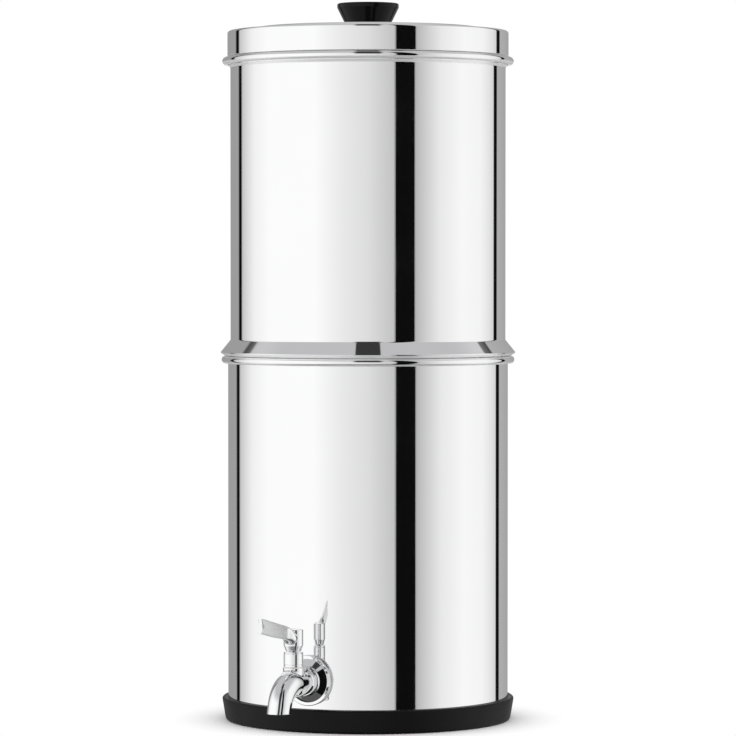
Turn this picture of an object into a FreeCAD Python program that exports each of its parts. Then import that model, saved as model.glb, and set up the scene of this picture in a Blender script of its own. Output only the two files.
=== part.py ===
import FreeCAD, Part
import math
import os

# Gravity water filter: an upper and a lower round steel chamber, a lid and a quarter turn tap.
# The Z axis is the chambers' axis. The origin is on it, where the base ring rests on the table.
# The tap points along minus Y. All sizes are in millimetres.

# Chambers
LOWER_OD = 207.0
SHEET = 0.8
LOWER_RIM_HEIGHT = 266.4
UPPER_HEIGHT = 217.3
SPIGOT_DEPTH = 25.5
NEST_GAP = 1.05
SEAT_GAP = 0.1
RIM_BEAD_R = 2.8
CURL_SWEEP_DEG = 305.0
FLOOR_BEND = 3.0
LOWER_FLOOR_RISE = 5.8
UPPER_FLOOR_TURN_UP = 12.0

# Folded bead that carries the upper chamber
SUPPORT_OUT = 7.6
SUPPORT_FLAT = 4.35
SUPPORT_CREST_RISE = 3.0
SUPPORT_SLOPE_RISE = 8.7
SUPPORT_CREST_BEND = 1.0
SUPPORT_BEND = 1.8

# Widened mouth below the upper rim bead
MOUTH_FLARE = 1.2
MOUTH_FLARE_RISE = 2.4
MOUTH_FLARE_BELOW_BEAD = 5.2

# Rubber base ring
RING_HEIGHT = 17.0
RING_SOLE = 4.0
RING_SOLE_WIDTH = 13.5
RING_TOP_OUT = 4.65
RING_FOOT_OUT = 1.8
RING_TOP_BEND = 1.6
RING_FOOT_BEND = 2.4

# Lid and its knob
LID_SEAT_GAP = 0.05
LID_SKIRT_OUT = 2.15
LID_SKIRT_HEIGHT = 19.2
LID_CORNER = 3.0
LID_SKIRT_BEND = 1.2
LID_LIP_GAP = 0.45
LID_LIP_DEPTH = 12.0
LID_PANEL_INSET = 15.8
LID_PANEL_RISE = 2.2
LID_PANEL_SLOPE = 4.0
KNOB_TOP_R = 22.75
KNOB_FOOT_R = 15.3
KNOB_HEIGHT = 18.4
KNOB_RIM_HEIGHT = 3.2
KNOB_EDGE = 1.2
INSERT_R = 4.5
INSERT_LENGTH = 12.0
KNOB_SCREW_R = 3.0
KNOB_SCREW_HEAD_R = 5.5
KNOB_SCREW_HEAD_H = 3.4
KNOB_SCREW_ENGAGE = 10.0
KNOB_WASHER_R = 8.0
KNOB_WASHER_T = 1.2

# Filter candles and blanking plugs
CANDLE_R = 32.0
CANDLE_SHELL = 2.0
CANDLE_FIT_GAP = 0.1
CANDLE_BASE_HEIGHT = 12.0
CANDLE_SOCKET = 7.0
CANDLE_CAP_HEIGHT = 11.0
CANDLE_CAP_SOCKET = 8.0
CANDLE_HEADROOM = 28.0
CANDLE_BORE_R = 9.0
CANDLE_CROWN = 15.0
STEM_R = 4.9
STEM_BORE_R = 2.5
STEM_LENGTH = 32.0
STEM_HOLE_GAP = 1.1
GASKET_T = 2.5
GASKET_WIDTH = 9.0
WING_HUB_R = 9.5
WING_HUB_H = 9.0
WING_REACH = 19.5
WING_DROP = 5.0
WING_T = 3.0
PLUG_HEAD_R = 13.0
PLUG_HEAD_H = 4.0
PLUG_STEM_LENGTH = 18.0
PLUG_NUT_FLATS = 17.0
PLUG_NUT_H = 7.0

# Tap: distances out are measured from the outside of the lower chamber along minus Y
FLANGE_R = 18.25
FLANGE_RING_GAP = 2.75
FLANGE_LIP_T = 2.2
FLANGE_EDGE = 0.8
BELL_R = 15.5
BELL_LENGTH = 8.2
SHANK_R = 6.0
SHANK_REACH_IN = 14.0
SHANK_HOLE_GAP = 0.6
INLET_BORE_R = 3.5
OUTER_GASKET_T = 1.0
OUTER_GASKET_R = 16.5
INNER_GASKET_T = 3.0
INNER_GASKET_R = 11.0
TAP_WASHER_T = 1.0
TAP_NUT_FLATS = 19.0
TAP_NUT_H = 5.0
BARREL_R = 9.7
BARREL_WALL = 2.3
SPINDLE_OUT = 26.5
BALL_R = 6.2
BALL_BORE_R = 2.9
BALL_GAP = 0.05
BALL_SLOT_WIDTH = 2.2
BALL_SLOT_DEPTH = 2.5
SEAT_RIM = 0.4
SEAT_HOLLOW = 1.9
SEAT_BACK = 0.8
SPOUT_BEND_OUT = 29.6
SPOUT_BEND_R = 21.3
SPOUT_BEND_DEG = 75.0
SPOUT_STRAIGHT = 8.0
SPOUT_DROP = 19.1
SPOUT_TIP_R = 8.45
SPOUT_WALL = 1.65
BOSS_R = 7.6
BOSS_RISE = 1.9
BONNET_R = 7.1
BONNET_HEIGHT = 10.9
BONNET_SPIGOT_R = 5.6
BONNET_SPIGOT_LENGTH = 3.6
BONNET_SEAL_T = 0.5
BONNET_SHOULDER = 5.5
SPINDLE_R = 2.9
SPINDLE_COLLAR_R = 4.45
RUNNING_GAP = 0.05
COLLAR_GAP = 0.1
ORING_R = 0.77
SPINDLE_SQUARE = 4.0
SPINDLE_SQUARE_FIT = 0.05
SPINDLE_SQUARE_LENGTH = 7.0

# Tap lever
HUB_GAP = 0.3
HUB_R = 7.1
HUB_HEIGHT = 15.7
HUB_FOOT_R = 5.4
HUB_CHAMFER_RISE = 4.2
HUB_RECESS_R = 5.0
HUB_WEB = 1.7
CAP_HEIGHT = 3.4
LEVER_SCREW_R = 1.5
LEVER_SCREW_HEAD_R = 2.8
LEVER_SCREW_HEAD_H = 2.0
LEVER_SCREW_DEPTH = 8.0
NECK_R = 5.0
NECK_RISE = 9.9
NECK_SLOPE_DEG = 19.0
NECK_LENGTH = 13.0
BLADE_T = 3.2
BLADE_EDGE = 0.5
BLADE_ROOT_OUT = 9.5
BLADE_ROOT_LOW = 8.9
BLADE_ROOT_HIGH = 18.4
BLADE_LENGTH = 55.5
BLADE_TIP_LOW = 17.3
BLADE_TIP_HIGH = 27.2
BLADE_NOTCH = 5.4
BLADE_SAG = 0.9

# Places worked out from the sizes above
lower_r = LOWER_OD / 2.0
lower_inner_r = lower_r - SHEET
upper_r = lower_inner_r - NEST_GAP
upper_inner_r = upper_r - SHEET
mouth_inner_r = upper_inner_r + MOUTH_FLARE
seat_z = LOWER_RIM_HEIGHT + RIM_BEAD_R + SEAT_GAP
upper_bottom_z = seat_z - SPIGOT_DEPTH
upper_floor_z = upper_bottom_z + SHEET
upper_rim_z = LOWER_RIM_HEIGHT + RIM_BEAD_R + UPPER_HEIGHT
lid_low_z = upper_rim_z + RIM_BEAD_R + LID_SEAT_GAP
lid_top_z = lid_low_z + LID_SKIRT_HEIGHT
lid_panel_z = lid_top_z + LID_PANEL_RISE
lid_under_z = lid_panel_z - SHEET
candle_circle_r = upper_inner_r / 2.0
stem_hole_r = STEM_R + STEM_HOLE_GAP
gasket_r = stem_hole_r + GASKET_WIDTH
candle_base_z = upper_floor_z + GASKET_T
candle_foot_z = candle_base_z + CANDLE_BASE_HEIGHT - CANDLE_SOCKET
candle_top_z = upper_rim_z - CANDLE_HEADROOM
tap_z = RING_HEIGHT + FLANGE_RING_GAP + FLANGE_R
flange_front_out = OUTER_GASKET_T + FLANGE_LIP_T
body_back_out = flange_front_out + BELL_LENGTH
seat_r = BALL_R + SEAT_RIM
seat_near_out = BALL_R - SEAT_HOLLOW
seat_far_out = BALL_R + SEAT_BACK
chamber_back_out = SPINDLE_OUT - seat_far_out
chamber_front_out = SPINDLE_OUT + seat_far_out
boss_top_z = tap_z + BARREL_R + BOSS_RISE
bonnet_foot_z = boss_top_z + BONNET_SEAL_T
bonnet_top_z = bonnet_foot_z + BONNET_HEIGHT
bonnet_low_z = boss_top_z - BONNET_SPIGOT_LENGTH
bonnet_bore_r = SPINDLE_COLLAR_R + COLLAR_GAP
bonnet_shoulder_z = bonnet_low_z + BONNET_SHOULDER
collar_low_z = tap_z + seat_r + COLLAR_GAP
collar_top_z = bonnet_shoulder_z - 2.0 * ORING_R - 2.0 * RUNNING_GAP
hub_z = bonnet_top_z + HUB_GAP
square_low_z = hub_z + HUB_GAP
spindle_top_z = square_low_z + SPINDLE_SQUARE_LENGTH
hub_floor_z = spindle_top_z + HUB_WEB
hub_top_z = hub_z + HUB_HEIGHT


def point(r, z):
    return FreeCAD.Vector(r, 0, z)


def ring(outer_r, inner_r, low_z, high_z, x=0.0, y=0.0):
    """An upright ring, or a disc where inner_r is zero."""
    low = FreeCAD.Vector(x, y, low_z)
    solid = Part.makeCylinder(outer_r, high_z - low_z, low)
    if inner_r > 0:
        solid = solid.cut(Part.makeCylinder(inner_r, high_z - low_z, low))
    return solid


def tap_ring(outer_r, inner_r, near_out, far_out):
    """A ring about the tap's level axis, between two distances out from the lower chamber."""
    near = FreeCAD.Vector(0, -(lower_r + near_out), tap_z)
    away = FreeCAD.Vector(0, -1, 0)
    solid = Part.makeCylinder(outer_r, far_out - near_out, near, away)
    if inner_r > 0:
        solid = solid.cut(Part.makeCylinder(inner_r, far_out - near_out, near, away))
    return solid


def spindle_ring(outer_r, inner_r, low_z, high_z):
    """A ring about the tap's upright spindle axis."""
    return ring(outer_r, inner_r, low_z, high_z, 0.0, -(lower_r + SPINDLE_OUT))


def hexagon(flats, low_z, high_z):
    """An upright hexagonal prism on the Z axis, by its width across flats."""
    corner_r = flats / math.sqrt(3.0)
    corners = []
    for step in range(7):
        angle = math.radians(60.0 * step)
        corners.append(FreeCAD.Vector(corner_r * math.cos(angle), corner_r * math.sin(angle), low_z))
    face = Part.Face(Part.makePolygon(corners))
    return face.extrude(FreeCAD.Vector(0, 0, high_z - low_z))


def offset_path(path, shift):
    """The same path of (r, z, bend) moved to its left by shift, with its bends kept concentric."""
    steps = []
    for first, second in zip(path[:-1], path[1:]):
        step = FreeCAD.Vector(second[0] - first[0], 0, second[1] - first[1])
        steps.append(step.normalize())
    moved = []
    for index, (r, z, bend) in enumerate(path):
        before = steps[max(index - 1, 0)]
        after = steps[min(index, len(steps) - 1)]
        side = FreeCAD.Vector(-before.z - after.z, 0, before.x + after.x) / (1.0 + before.dot(after))
        turn = before.x * after.z - before.z * after.x
        new_bend = bend - math.copysign(shift, turn) if bend > 0 else 0.0
        moved.append((r + side.x * shift, z + side.z * shift, new_bend))
    return moved


def path_edges(path):
    """Straight edges along a path of (r, z, bend), joined by an arc at each point with a bend."""
    edges = []
    start = point(path[0][0], path[0][1])
    for before, here, after in zip(path[:-2], path[1:-1], path[2:]):
        corner = point(here[0], here[1])
        arriving = (corner - point(before[0], before[1])).normalize()
        leaving = (point(after[0], after[1]) - corner).normalize()
        bend = here[2]
        if bend <= 0:
            edges.append(Part.LineSegment(start, corner).toShape())
            start = corner
            continue
        half_turn = arriving.getAngle(leaving) / 2.0
        reach = bend * math.tan(half_turn)
        arc_start = corner - arriving * reach
        arc_end = corner + leaving * reach
        inward = (leaving - arriving).normalize()
        arc_mid = corner + inward * (bend / math.cos(half_turn) - bend)
        edges.append(Part.LineSegment(start, arc_start).toShape())
        edges.append(Part.Arc(arc_start, arc_mid, arc_end).toShape())
        start = arc_end
    edges.append(Part.LineSegment(start, point(path[-1][0], path[-1][1])).toShape())
    return edges


def line(first, second):
    return Part.LineSegment(first, second).toShape()


def reverse_path(path):
    return list(reversed(path))


def revolve_edges(edges):
    """A solid of revolution about the Z axis from the closed outline that the edges make."""
    face = Part.Face(Part.Wire(edges))
    return face.revolve(FreeCAD.Vector(0, 0, 0), FreeCAD.Vector(0, 0, 1), 360)


def revolve_path(path):
    """A solid of revolution from a path of (r, z, bend) whose ends are joined."""
    edges = path_edges(path)
    edges.append(line(point(path[-1][0], path[-1][1]), point(path[0][0], path[0][1])))
    return revolve_edges(edges)


def sheet_edges(path, shift):
    """The outline of a bent sheet: the path, the sheet's two ends, and the path moved by shift."""
    far = reverse_path(offset_path(path, shift))
    edges = path_edges(path)
    edges.append(line(point(path[-1][0], path[-1][1]), point(far[0][0], far[0][1])))
    edges.extend(path_edges(far))
    edges.append(line(point(far[-1][0], far[-1][1]), point(path[0][0], path[0][1])))
    return edges


def curl_point(centre_r, centre_z, radius, sweep_deg):
    """A point on the rolled rim, sweep_deg on from where the wall meets it."""
    angle = math.radians(180.0 - sweep_deg)
    return point(centre_r + radius * math.cos(angle), centre_z + radius * math.sin(angle))


def rolled_wall(outer_path, rim_z):
    """A sheet wall along outer_path, upwards, whose top edge is rolled outwards into a bead."""
    inner_path = offset_path(outer_path, SHEET)
    centre_r = inner_path[-1][0] + RIM_BEAD_R
    tube_inner = RIM_BEAD_R - SHEET
    outer_arc = [curl_point(centre_r, rim_z, RIM_BEAD_R, CURL_SWEEP_DEG * share) for share in (0, 0.5, 1)]
    inner_arc = [curl_point(centre_r, rim_z, tube_inner, CURL_SWEEP_DEG * share) for share in (1, 0.5, 0)]
    edges = path_edges(inner_path)
    edges.append(Part.Arc(*outer_arc).toShape())
    edges.append(line(outer_arc[-1], inner_arc[0]))
    edges.append(Part.Arc(*inner_arc).toShape())
    edges.extend(path_edges(reverse_path(outer_path)))
    edges.append(line(point(outer_path[0][0], outer_path[0][1]), point(inner_path[0][0], inner_path[0][1])))
    return revolve_edges(edges)


def base_ring():
    """Rubber ring with a sole under the wall's edge and a tapered skirt around it."""
    inner_r = lower_r - RING_SOLE_WIDTH
    path = [
        (inner_r, 0.0, 0.0),
        (lower_r + RING_FOOT_OUT, 0.0, RING_FOOT_BEND),
        (lower_r + RING_TOP_OUT, RING_HEIGHT, RING_TOP_BEND),
        (lower_r, RING_HEIGHT, 0.0),
        (lower_r, RING_SOLE, 0.0),
        (inner_r, RING_SOLE, 0.0),
    ]
    return revolve_path(path)


def lower_wall():
    """Lower chamber wall, rolled outwards at the rim, with the hole for the tap's shank."""
    path = [(lower_r, RING_SOLE, 0.0), (lower_r, LOWER_RIM_HEIGHT, 0.0)]
    wall = rolled_wall(path, LOWER_RIM_HEIGHT)
    return wall.cut(tap_ring(SHANK_R + SHANK_HOLE_GAP, 0.0, -4.0 * SHEET, 4.0 * SHEET))


def lower_floor():
    """Floor pan of the lower chamber, with its edge turned down inside the wall."""
    floor_z = RING_SOLE + LOWER_FLOOR_RISE
    path = [
        (0.0, floor_z, 0.0),
        (lower_inner_r, floor_z, FLOOR_BEND),
        (lower_inner_r, RING_SOLE, 0.0),
    ]
    return revolve_edges(sheet_edges(path, -SHEET))


def upper_wall():
    """Upper chamber wall: spigot, folded support bead, straight wall, widened mouth, rolled rim."""
    mouth_r = mouth_inner_r + SHEET
    flare_z = upper_rim_z - MOUTH_FLARE_BELOW_BEAD
    crest_z = seat_z + SUPPORT_CREST_RISE
    path = [
        (upper_r, upper_bottom_z, 0.0),
        (upper_r, seat_z, SUPPORT_CREST_BEND),
        (upper_r + SUPPORT_FLAT, seat_z, SUPPORT_CREST_BEND),
        (upper_r + SUPPORT_OUT, crest_z, SUPPORT_CREST_BEND),
        (upper_r, crest_z + SUPPORT_SLOPE_RISE, SUPPORT_BEND),
        (upper_r, flare_z, SUPPORT_BEND),
        (mouth_r, flare_z + MOUTH_FLARE_RISE, SUPPORT_BEND),
        (mouth_r, upper_rim_z, 0.0),
    ]
    return rolled_wall(path, upper_rim_z)


def hole_places():
    """The four floor holes: the first two hold candles, the other two hold blanking plugs."""
    places = []
    for angle_deg in (0.0, 180.0, 90.0, 270.0):
        angle = math.radians(angle_deg)
        places.append((candle_circle_r * math.cos(angle), candle_circle_r * math.sin(angle)))
    return places


def upper_floor():
    """Floor pan of the upper chamber, with its edge turned up inside the spigot and four holes."""
    path = [
        (0.0, upper_bottom_z, 0.0),
        (upper_inner_r, upper_bottom_z, FLOOR_BEND),
        (upper_inner_r, upper_bottom_z + UPPER_FLOOR_TURN_UP, 0.0),
    ]
    pan = revolve_edges(sheet_edges(path, SHEET))
    for x, y in hole_places():
        pan = pan.cut(ring(stem_hole_r, 0.0, upper_bottom_z - SHEET, upper_floor_z + SHEET, x, y))
    return pan


def lid_shell():
    """Pressed lid: raised centre panel, rounded corner, skirt, and a lip that enters the mouth."""
    skirt_r = upper_r + LID_SKIRT_OUT
    lip_r = upper_inner_r - LID_LIP_GAP
    panel_r = skirt_r - LID_PANEL_INSET
    path = [
        (0.0, lid_panel_z, 0.0),
        (panel_r - LID_PANEL_SLOPE, lid_panel_z, LID_CORNER),
        (panel_r, lid_top_z, LID_CORNER),
        (skirt_r, lid_top_z, LID_CORNER),
        (skirt_r, lid_low_z, LID_SKIRT_BEND),
        (lip_r, lid_low_z, LID_SKIRT_BEND),
        (lip_r, lid_low_z - LID_LIP_DEPTH, 0.0),
    ]
    shell = revolve_edges(sheet_edges(path, -SHEET))
    return shell.cut(ring(KNOB_SCREW_R + RUNNING_GAP, 0.0, lid_under_z - SHEET, lid_panel_z + SHEET))


def lid_knob():
    """Moulded knob, an upside-down cone with a short upright rim, with a socket for its insert."""
    top_z = lid_panel_z + KNOB_HEIGHT
    path = [
        (0.0, lid_panel_z, 0.0),
        (KNOB_FOOT_R, lid_panel_z, KNOB_EDGE / 2.0),
        (KNOB_TOP_R, top_z - KNOB_RIM_HEIGHT, KNOB_EDGE),
        (KNOB_TOP_R, top_z, KNOB_EDGE),
        (0.0, top_z, 0.0),
    ]
    socket = ring(INSERT_R, 0.0, lid_panel_z, lid_panel_z + INSERT_LENGTH)
    return revolve_path(path).cut(socket)


def knob_insert():
    """Threaded bush moulded into the knob."""
    return ring(INSERT_R, KNOB_SCREW_R, lid_panel_z, lid_panel_z + INSERT_LENGTH)


def knob_washer():
    low_z = lid_under_z - KNOB_WASHER_T
    return ring(KNOB_WASHER_R, KNOB_SCREW_R + RUNNING_GAP, low_z, lid_under_z)


def knob_screw():
    """Pan head screw from under the lid into the knob's insert, with a cross recess."""
    head_top_z = lid_under_z - KNOB_WASHER_T
    head_low_z = head_top_z - KNOB_SCREW_HEAD_H
    head = ring(KNOB_SCREW_HEAD_R, 0.0, head_low_z, head_top_z)
    head = head.makeFillet(KNOB_SCREW_HEAD_H / 3.0, [head.Edges[index] for index in round_edges(head, head_low_z)])
    shank = ring(KNOB_SCREW_R, 0.0, head_top_z, lid_panel_z + KNOB_SCREW_ENGAGE)
    slot_length = KNOB_SCREW_HEAD_R * 1.1
    slot_width = KNOB_SCREW_HEAD_R / 5.0
    slot_depth = KNOB_SCREW_HEAD_H / 2.0
    for length, width in ((slot_length, slot_width), (slot_width, slot_length)):
        corner = FreeCAD.Vector(-length / 2.0, -width / 2.0, head_low_z)
        head = head.cut(Part.makeBox(length, width, slot_depth, corner))
    return head.fuse(shank)


def round_edges(solid, z):
    """Indexes of the circular edges that lie at height z."""
    found = []
    for index, edge in enumerate(solid.Edges):
        box = edge.BoundBox
        level = abs(box.ZMin - z) < 1e-6 and abs(box.ZMax - z) < 1e-6
        if level and isinstance(edge.Curve, Part.Circle):
            found.append(index)
    return found


def carbon_candle(x, y):
    """Block of pressed carbon, bored up the middle from below."""
    radius = CANDLE_R - CANDLE_FIT_GAP
    block = ring(radius, 0.0, candle_foot_z, candle_top_z, x, y)
    bore = ring(CANDLE_BORE_R, 0.0, candle_foot_z, candle_top_z - CANDLE_CROWN, x, y)
    return block.cut(bore)


def candle_base(x, y):
    """Moulded base with a socket for the carbon block and a hollow threaded stem."""
    outer_r = CANDLE_R + CANDLE_SHELL
    top_z = candle_base_z + CANDLE_BASE_HEIGHT
    disc = ring(outer_r, 0.0, candle_base_z, top_z, x, y)
    disc = disc.cut(ring(CANDLE_R, 0.0, candle_foot_z, top_z, x, y))
    stem = ring(STEM_R, 0.0, candle_base_z - STEM_LENGTH, candle_base_z, x, y)
    bore = ring(STEM_BORE_R, 0.0, candle_base_z - STEM_LENGTH, candle_foot_z, x, y)
    return disc.fuse(stem).cut(bore)


def candle_cap(x, y):
    """Moulded cap over the top of the carbon block."""
    outer_r = CANDLE_R + CANDLE_SHELL
    low_z = candle_top_z - CANDLE_CAP_SOCKET
    cap = ring(outer_r, 0.0, low_z, low_z + CANDLE_CAP_HEIGHT)
    top_edges = [cap.Edges[index] for index in round_edges(cap, low_z + CANDLE_CAP_HEIGHT)]
    cap = cap.makeFillet(CANDLE_SHELL, top_edges)
    cap = cap.cut(ring(CANDLE_R, 0.0, low_z, candle_top_z))
    return cap.translated(FreeCAD.Vector(x, y, 0))


def floor_gasket(x, y):
    """Flat washer between a base or plug and the floor."""
    return ring(gasket_r, STEM_R + CANDLE_FIT_GAP, upper_floor_z, candle_base_z, x, y)


def wing_nut(x, y):
    """Moulded nut with two wings, under the floor on a candle's stem."""
    top_z = upper_bottom_z
    hub = ring(WING_HUB_R, 0.0, top_z - WING_HUB_H, top_z)
    outline = [
        (WING_HUB_R / 2.0, top_z - 1.0),
        (WING_HUB_R + 1.0, top_z - 1.0),
        (WING_REACH, top_z - WING_DROP),
        (WING_REACH, top_z - WING_HUB_H - WING_DROP / 2.0),
        (WING_REACH - WING_DROP, top_z - WING_HUB_H - WING_DROP / 2.0),
        (WING_HUB_R / 2.0, top_z - WING_HUB_H + 1.0),
    ]
    for side in (1.0, -1.0):
        corners = [FreeCAD.Vector(side * r, -WING_T / 2.0, z) for r, z in outline]
        wing = Part.Face(Part.makePolygon(corners + corners[:1])).extrude(FreeCAD.Vector(0, WING_T, 0))
        hub = hub.fuse(wing)
    hub = hub.cut(ring(STEM_R, 0.0, top_z - 2.0 * WING_HUB_H, top_z))
    return hub.removeSplitter().translated(FreeCAD.Vector(x, y, 0))


def blanking_plug(x, y):
    """Solid plug with a flat head, for a floor hole that holds no candle."""
    head = ring(PLUG_HEAD_R, 0.0, candle_base_z, candle_base_z + PLUG_HEAD_H, x, y)
    stem = ring(STEM_R, 0.0, candle_base_z - PLUG_STEM_LENGTH, candle_base_z, x, y)
    return head.fuse(stem)


def plug_nut(x, y):
    nut = hexagon(PLUG_NUT_FLATS, upper_bottom_z - PLUG_NUT_H, upper_bottom_z)
    nut = nut.cut(ring(STEM_R, 0.0, upper_bottom_z - PLUG_NUT_H, upper_bottom_z))
    return nut.translated(FreeCAD.Vector(x, y, 0))


def tap_flange():
    """Shank, round flange and bell in one turned piece, screwed into the back of the tap body."""
    # The outline is turned about Z here, with heights as distances out, then laid along minus Y.
    path = [
        (INLET_BORE_R, -SHANK_REACH_IN, 0.0),
        (SHANK_R, -SHANK_REACH_IN, 0.0),
        (SHANK_R, OUTER_GASKET_T, 0.0),
        (FLANGE_R, OUTER_GASKET_T, FLANGE_EDGE),
        (FLANGE_R, flange_front_out, FLANGE_EDGE),
        (BELL_R, flange_front_out, FLANGE_EDGE),
        (BARREL_R + 0.6, body_back_out - 1.8, BELL_LENGTH),
        (BARREL_R, body_back_out, 0.0),
        (BARREL_R - BARREL_WALL, body_back_out, 0.0),
        (BARREL_R - BARREL_WALL, chamber_back_out, 0.0),
        (INLET_BORE_R, chamber_back_out, 0.0),
    ]
    return lay_on_tap_axis(revolve_path(path))


def lay_on_tap_axis(solid):
    """Turns a piece whose axis is Z, with height meaning distance out, onto the tap's axis."""
    laid = solid.copy()
    laid.rotate(FreeCAD.Vector(0, 0, 0), FreeCAD.Vector(1, 0, 0), 90)
    laid.translate(FreeCAD.Vector(0, -lower_r, tap_z))
    return laid


def spout_circle(turn_deg, radius):
    """A circle square to the spout's centre line, where the line has turned down by turn_deg."""
    angle = math.radians(turn_deg)
    out = lower_r + SPOUT_BEND_OUT + SPOUT_BEND_R * math.sin(angle)
    z = tap_z - SPOUT_BEND_R * (1.0 - math.cos(angle))
    along = FreeCAD.Vector(0, -math.cos(angle), -math.sin(angle))
    return Part.Wire(Part.makeCircle(radius, FreeCAD.Vector(0, -out, z), along))


def spout_loft(turns, radii):
    """A smooth tapered bend through circles at the given turns of the centre line."""
    circles = [spout_circle(turn, radius) for turn, radius in zip(turns, radii)]
    return Part.makeLoft(circles, True)


def spout_end(radius):
    """The straight last stretch of the spout, as a cylinder that runs past the level end cut."""
    angle = math.radians(SPOUT_BEND_DEG)
    out = lower_r + SPOUT_BEND_OUT + SPOUT_BEND_R * math.sin(angle)
    z = tap_z - SPOUT_BEND_R * (1.0 - math.cos(angle))
    along = FreeCAD.Vector(0, -math.cos(angle), -math.sin(angle))
    return Part.makeCylinder(radius, SPOUT_STRAIGHT, FreeCAD.Vector(0, -out, z), along)


def tap_body():
    """Chromed barrel with the ball's chamber, a boss for the bonnet and the bent spout."""
    turns = [SPOUT_BEND_DEG * step / 6.0 for step in range(7)]
    radii = [BARREL_R + (SPOUT_TIP_R - BARREL_R) * step / 6.0 for step in range(7)]
    solid = tap_ring(BARREL_R, 0.0, body_back_out, SPOUT_BEND_OUT)
    solid = solid.fuse(spout_loft(turns, radii))
    solid = solid.fuse(spout_end(SPOUT_TIP_R))
    solid = solid.fuse(spindle_ring(BOSS_R, 0.0, tap_z, boss_top_z))
    outlet_r = SPOUT_TIP_R - SPOUT_WALL
    bore_start_out = chamber_front_out - SPOUT_BEND_OUT
    bore_start_deg = math.degrees(math.asin(bore_start_out / SPOUT_BEND_R))
    bore_turns = [bore_start_deg + (SPOUT_BEND_DEG - bore_start_deg) * step / 4.0 for step in range(5)]
    bore_radii = [BALL_BORE_R + (outlet_r - BALL_BORE_R) * step / 4.0 for step in range(5)]
    solid = solid.cut(tap_ring(BARREL_R - BARREL_WALL, 0.0, body_back_out, chamber_back_out))
    solid = solid.cut(tap_ring(seat_r, 0.0, chamber_back_out, chamber_front_out))
    solid = solid.cut(tap_ring(BALL_BORE_R, 0.0, chamber_front_out - SHEET, chamber_front_out + SHEET))
    solid = solid.cut(spout_loft(bore_turns, bore_radii))
    solid = solid.cut(spout_end(outlet_r))
    solid = solid.cut(spindle_ring(BONNET_SPIGOT_R, 0.0, tap_z, boss_top_z))
    below_end = ring(LOWER_OD, 0.0, tap_z - SPOUT_DROP - 4.0 * SPOUT_STRAIGHT, tap_z - SPOUT_DROP)
    return solid.cut(below_end)


def tap_outer_gasket():
    """Rubber washer that fills between the flat flange and the round wall."""
    solid = tap_ring(OUTER_GASKET_R, SHANK_R, -OUTER_GASKET_R / 2.0, OUTER_GASKET_T)
    return solid.cut(Part.makeCylinder(lower_r, 4.0 * tap_z))


def tap_inner_gasket():
    """Rubber washer that fills between the inside of the wall and the flat steel washer."""
    back_out = -SHEET - INNER_GASKET_T
    solid = tap_ring(INNER_GASKET_R, SHANK_R, back_out, 0.0)
    return solid.common(Part.makeCylinder(lower_inner_r, 4.0 * tap_z))


def tap_washer():
    front_out = -SHEET - INNER_GASKET_T
    return tap_ring(INNER_GASKET_R, SHANK_R + RUNNING_GAP, front_out - TAP_WASHER_T, front_out)


def tap_lock_nut():
    """Hexagonal nut on the shank inside the lower chamber."""
    front_out = -SHEET - INNER_GASKET_T - TAP_WASHER_T
    nut = hexagon(TAP_NUT_FLATS, front_out - TAP_NUT_H, front_out)
    nut = nut.cut(ring(SHANK_R, 0.0, front_out - TAP_NUT_H, front_out))
    return lay_on_tap_axis(nut)


def ball_seat(side):
    """Plastic ring with a round hollow that the ball turns against: side is minus 1 for the inlet."""
    near = SPINDLE_OUT + side * seat_near_out
    far = SPINDLE_OUT + side * seat_far_out
    seat = tap_ring(seat_r, BALL_BORE_R, min(near, far), max(near, far))
    centre = FreeCAD.Vector(0, -(lower_r + SPINDLE_OUT), tap_z)
    return seat.cut(Part.makeSphere(BALL_R + BALL_GAP, centre))


def valve_ball():
    """Ball with a cross bore, shown closed, and a slot on top for the spindle's tongue."""
    centre = FreeCAD.Vector(0, -(lower_r + SPINDLE_OUT), tap_z)
    ball = Part.makeSphere(BALL_R, centre)
    bore_start = centre - FreeCAD.Vector(2.0 * BALL_R, 0, 0)
    ball = ball.cut(Part.makeCylinder(BALL_BORE_R, 4.0 * BALL_R, bore_start, FreeCAD.Vector(1, 0, 0)))
    slot_corner = centre + FreeCAD.Vector(-BALL_R, -BALL_SLOT_WIDTH / 2.0, BALL_R - BALL_SLOT_DEPTH)
    return ball.cut(Part.makeBox(2.0 * BALL_R, BALL_SLOT_WIDTH, 2.0 * BALL_SLOT_DEPTH, slot_corner))


def tap_spindle():
    """Spindle: tongue in the ball's slot, collar, round stem and a square for the lever."""
    axis_y = -(lower_r + SPINDLE_OUT)
    solid = spindle_ring(SPINDLE_COLLAR_R, 0.0, collar_low_z, collar_top_z)
    solid = solid.fuse(spindle_ring(SPINDLE_R, 0.0, collar_top_z, square_low_z))
    tongue_width = BALL_SLOT_WIDTH - COLLAR_GAP
    tongue_length = 2.0 * BALL_BORE_R
    tongue_low_z = tap_z + BALL_R - BALL_SLOT_DEPTH + COLLAR_GAP
    tongue_corner = FreeCAD.Vector(-tongue_length / 2.0, axis_y - tongue_width / 2.0, tongue_low_z)
    solid = solid.fuse(Part.makeBox(tongue_length, tongue_width, collar_low_z - tongue_low_z, tongue_corner))
    square_corner = FreeCAD.Vector(-SPINDLE_SQUARE / 2.0, axis_y - SPINDLE_SQUARE / 2.0, square_low_z)
    solid = solid.fuse(Part.makeBox(SPINDLE_SQUARE, SPINDLE_SQUARE, SPINDLE_SQUARE_LENGTH, square_corner))
    return solid.cut(spindle_ring(LEVER_SCREW_R, 0.0, spindle_top_z - LEVER_SCREW_DEPTH, spindle_top_z))


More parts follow.
